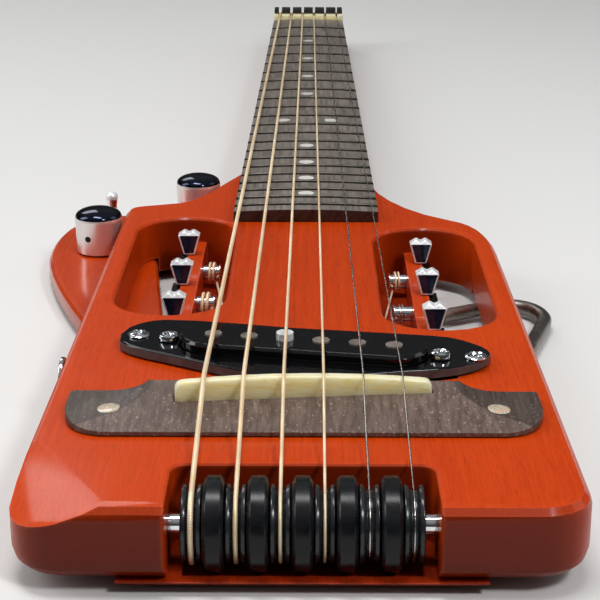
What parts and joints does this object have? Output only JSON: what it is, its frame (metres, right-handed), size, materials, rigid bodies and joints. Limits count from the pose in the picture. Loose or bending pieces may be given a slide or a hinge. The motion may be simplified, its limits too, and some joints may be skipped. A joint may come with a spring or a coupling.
{
  "type": "travel guitar",
  "caption": "Headless travel guitar with a slim mahogany body, tuners inside two body cutouts, a roller bridge at the tail and a swing-out lap rest.",
  "frame": {"origin": "on the back panel's flat back, under the place on the centre line where the nominal scale ends", "axes": "+X towards the treble side, +Y along the strings from the tail to the nut, +Z out of the playing face"},
  "size_m": [0.1763, 0.711, 0.0337],
  "materials": {
    "mahogany": "reddish-brown mahogany under satin lacquer",
    "rosewood": "dark open-grained wood, dry",
    "bone": "polished off-white bone",
    "black_plastic": "glossy black plastic",
    "chrome": "bright chrome plate",
    "steel": "bare steel",
    "bronze_wound": "bronze-wound string",
    "satin_metal": "satin grey metal rod"
  },
  "bodies": {
    "guitar": {"neck_body": "mahogany", "bass_wing": "mahogany", "back_panel": "mahogany", "control_cover": "black_plastic", "fingerboard": "rosewood", "truss_rod": "steel", "nut": "bone", "head_block": "black_plastic", "bridge": "rosewood", "saddle": "bone", "piezo_strip": "steel", "pickup_ring": "black_plastic", "pickup_cover": "black_plastic", "pickup_bobbin": "steel", "height_screw_bass": "chrome", "height_screw_treble": "chrome", "roller_axle": "chrome", "spacer_disc_1": "black_plastic", "spacer_disc_2": "black_plastic", "spacer_disc_3": "black_plastic", "spacer_disc_4": "black_plastic", "spacer_disc_5": "black_plastic", "string_1": "bronze_wound", "string_2": "bronze_wound", "string_3": "bronze_wound", "string_4": "bronze_wound", "string_5": "steel", "string_6": "steel", "tuner_housing_1": "chrome", "tuner_housing_2": "chrome", "tuner_housing_3": "chrome", "tuner_housing_4": "chrome", "tuner_housing_5": "chrome", "tuner_housing_6": "chrome", "volume_pot": "steel", "tone_pot": "steel", "toggle_switch": "steel", "output_jack": "chrome"},
    "tuner_button_1": {"tuner_button_1": "chrome"},
    "string_post_1": {"string_post_1": "chrome"},
    "string_roller_1": {"string_roller_1": "black_plastic"},
    "tuner_button_2": {"tuner_button_2": "chrome"},
    "string_post_2": {"string_post_2": "chrome"},
    "string_roller_2": {"string_roller_2": "black_plastic"},
    "tuner_button_3": {"tuner_button_3": "chrome"},
    "string_post_3": {"string_post_3": "chrome"},
    "string_roller_3": {"string_roller_3": "black_plastic"},
    "tuner_button_4": {"tuner_button_4": "chrome"},
    "string_post_4": {"string_post_4": "chrome"},
    "string_roller_4": {"string_roller_4": "black_plastic"},
    "tuner_button_5": {"tuner_button_5": "chrome"},
    "string_post_5": {"string_post_5": "chrome"},
    "string_roller_5": {"string_roller_5": "black_plastic"},
    "tuner_button_6": {"tuner_button_6": "chrome"},
    "string_post_6": {"string_post_6": "chrome"},
    "string_roller_6": {"string_roller_6": "black_plastic"},
    "volume_knob": {"volume_knob": "chrome"},
    "tone_knob": {"tone_knob": "chrome"},
    "toggle_lever": {"toggle_lever": "chrome"},
    "lap_rest": {"lap_rest": "satin_metal"}
  },
  "joints": [
    {"name": "tuner_1_turn", "type": "hinge", "parent": "guitar", "child": "tuner_button_1", "pos_m": [-0.0411, 0.0927, 0.014], "axis": [0, 0, 1], "continuous": true},
    {"name": "post_1_turn", "type": "hinge", "parent": "guitar", "child": "string_post_1", "pos_m": [-0.0411, 0.0871, 0.0087], "axis": [1, 0, 0], "continuous": true},
    {"name": "roller_1_turn", "type": "hinge", "parent": "guitar", "child": "string_roller_1", "pos_m": [-0.02562, -0.0483, 0.0131], "axis": [1, 0, 0], "continuous": true},
    {"name": "tuner_2_turn", "type": "hinge", "parent": "guitar", "child": "tuner_button_2", "pos_m": [-0.0411, 0.1263, 0.014], "axis": [0, 0, 1], "continuous": true},
    {"name": "post_2_turn", "type": "hinge", "parent": "guitar", "child": "string_post_2", "pos_m": [-0.0411, 0.1207, 0.0087], "axis": [1, 0, 0], "continuous": true},
    {"name": "roller_2_turn", "type": "hinge", "parent": "guitar", "child": "string_roller_2", "pos_m": [-0.01537, -0.0483, 0.0131], "axis": [1, 0, 0], "continuous": true},
    {"name": "tuner_3_turn", "type": "hinge", "parent": "guitar", "child": "tuner_button_3", "pos_m": [-0.0411, 0.1599, 0.014], "axis": [0, 0, 1], "continuous": true},
    {"name": "post_3_turn", "type": "hinge", "parent": "guitar", "child": "string_post_3", "pos_m": [-0.0411, 0.1543, 0.0087], "axis": [1, 0, 0], "continuous": true},
    {"name": "roller_3_turn", "type": "hinge", "parent": "guitar", "child": "string_roller_3", "pos_m": [-0.00513, -0.0483, 0.0131], "axis": [1, 0, 0], "continuous": true},
    {"name": "tuner_4_turn", "type": "hinge", "parent": "guitar", "child": "tuner_button_4", "pos_m": [0.0399, 0.1502, 0.014], "axis": [0, 0, 1], "continuous": true},
    {"name": "post_4_turn", "type": "hinge", "parent": "guitar", "child": "string_post_4", "pos_m": [0.0399, 0.1446, 0.0087], "axis": [1, 0, 0], "continuous": true},
    {"name": "roller_4_turn", "type": "hinge", "parent": "guitar", "child": "string_roller_4", "pos_m": [0.00513, -0.0483, 0.0131], "axis": [1, 0, 0], "continuous": true},
    {"name": "tuner_5_turn", "type": "hinge", "parent": "guitar", "child": "tuner_button_5", "pos_m": [0.0399, 0.1166, 0.014], "axis": [0, 0, 1], "continuous": true},
    {"name": "post_5_turn", "type": "hinge", "parent": "guitar", "child": "string_post_5", "pos_m": [0.0399, 0.111, 0.0087], "axis": [1, 0, 0], "continuous": true},
    {"name": "roller_5_turn", "type": "hinge", "parent": "guitar", "child": "string_roller_5", "pos_m": [0.01537, -0.0483, 0.0131], "axis": [1, 0, 0], "continuous": true},
    {"name": "tuner_6_turn", "type": "hinge", "parent": "guitar", "child": "tuner_button_6", "pos_m": [0.0399, 0.083, 0.014], "axis": [0, 0, 1], "continuous": true},
    {"name": "post_6_turn", "type": "hinge", "parent": "guitar", "child": "string_post_6", "pos_m": [0.0399, 0.0774, 0.0087], "axis": [1, 0, 0], "continuous": true},
    {"name": "roller_6_turn", "type": "hinge", "parent": "guitar", "child": "string_roller_6", "pos_m": [0.02562, -0.0483, 0.0131], "axis": [1, 0, 0], "continuous": true},
    {"name": "volume_turn", "type": "hinge", "parent": "guitar", "child": "volume_knob", "pos_m": [-0.0755, 0.1792, 0.0084], "axis": [0, 0, 1], "range_deg": [-150, 150]},
    {"name": "tone_turn", "type": "hinge", "parent": "guitar", "child": "tone_knob", "pos_m": [-0.0423, 0.2271, 0.0084], "axis": [0, 0, 1], "range_deg": [-150, 150]},
    {"name": "toggle_throw", "type": "hinge", "parent": "guitar", "child": "toggle_lever", "pos_m": [-0.0732, 0.2015, 0.0128], "axis": [0, 1, 0], "range_deg": [-12, 12]},
    {"name": "lap_rest_swing", "type": "hinge", "parent": "guitar", "child": "lap_rest", "pos_m": [0.0542, 0.041, 0.008], "axis": [0, 0, 1], "range_deg": [-80, 0]}
  ],
  "couplings": [
    {"joint": "post_1_turn", "follows": "tuner_1_turn", "ratio": 0.071429},
    {"joint": "roller_1_turn", "follows": "tuner_1_turn", "ratio": 0.026835},
    {"joint": "post_2_turn", "follows": "tuner_2_turn", "ratio": 0.071429},
    {"joint": "roller_2_turn", "follows": "tuner_2_turn", "ratio": 0.026333},
    {"joint": "post_3_turn", "follows": "tuner_3_turn", "ratio": 0.071429},
    {"joint": "roller_3_turn", "follows": "tuner_3_turn", "ratio": 0.025766},
    {"joint": "post_4_turn", "follows": "tuner_4_turn", "ratio": 0.071429},
    {"joint": "roller_4_turn", "follows": "tuner_4_turn", "ratio": 0.025239},
    {"joint": "post_5_turn", "follows": "tuner_5_turn", "ratio": 0.071429},
    {"joint": "roller_5_turn", "follows": "tuner_5_turn", "ratio": 0.024645},
    {"joint": "post_6_turn", "follows": "tuner_6_turn", "ratio": 0.071429},
    {"joint": "roller_6_turn", "follows": "tuner_6_turn", "ratio": 0.02437}
  ]
}
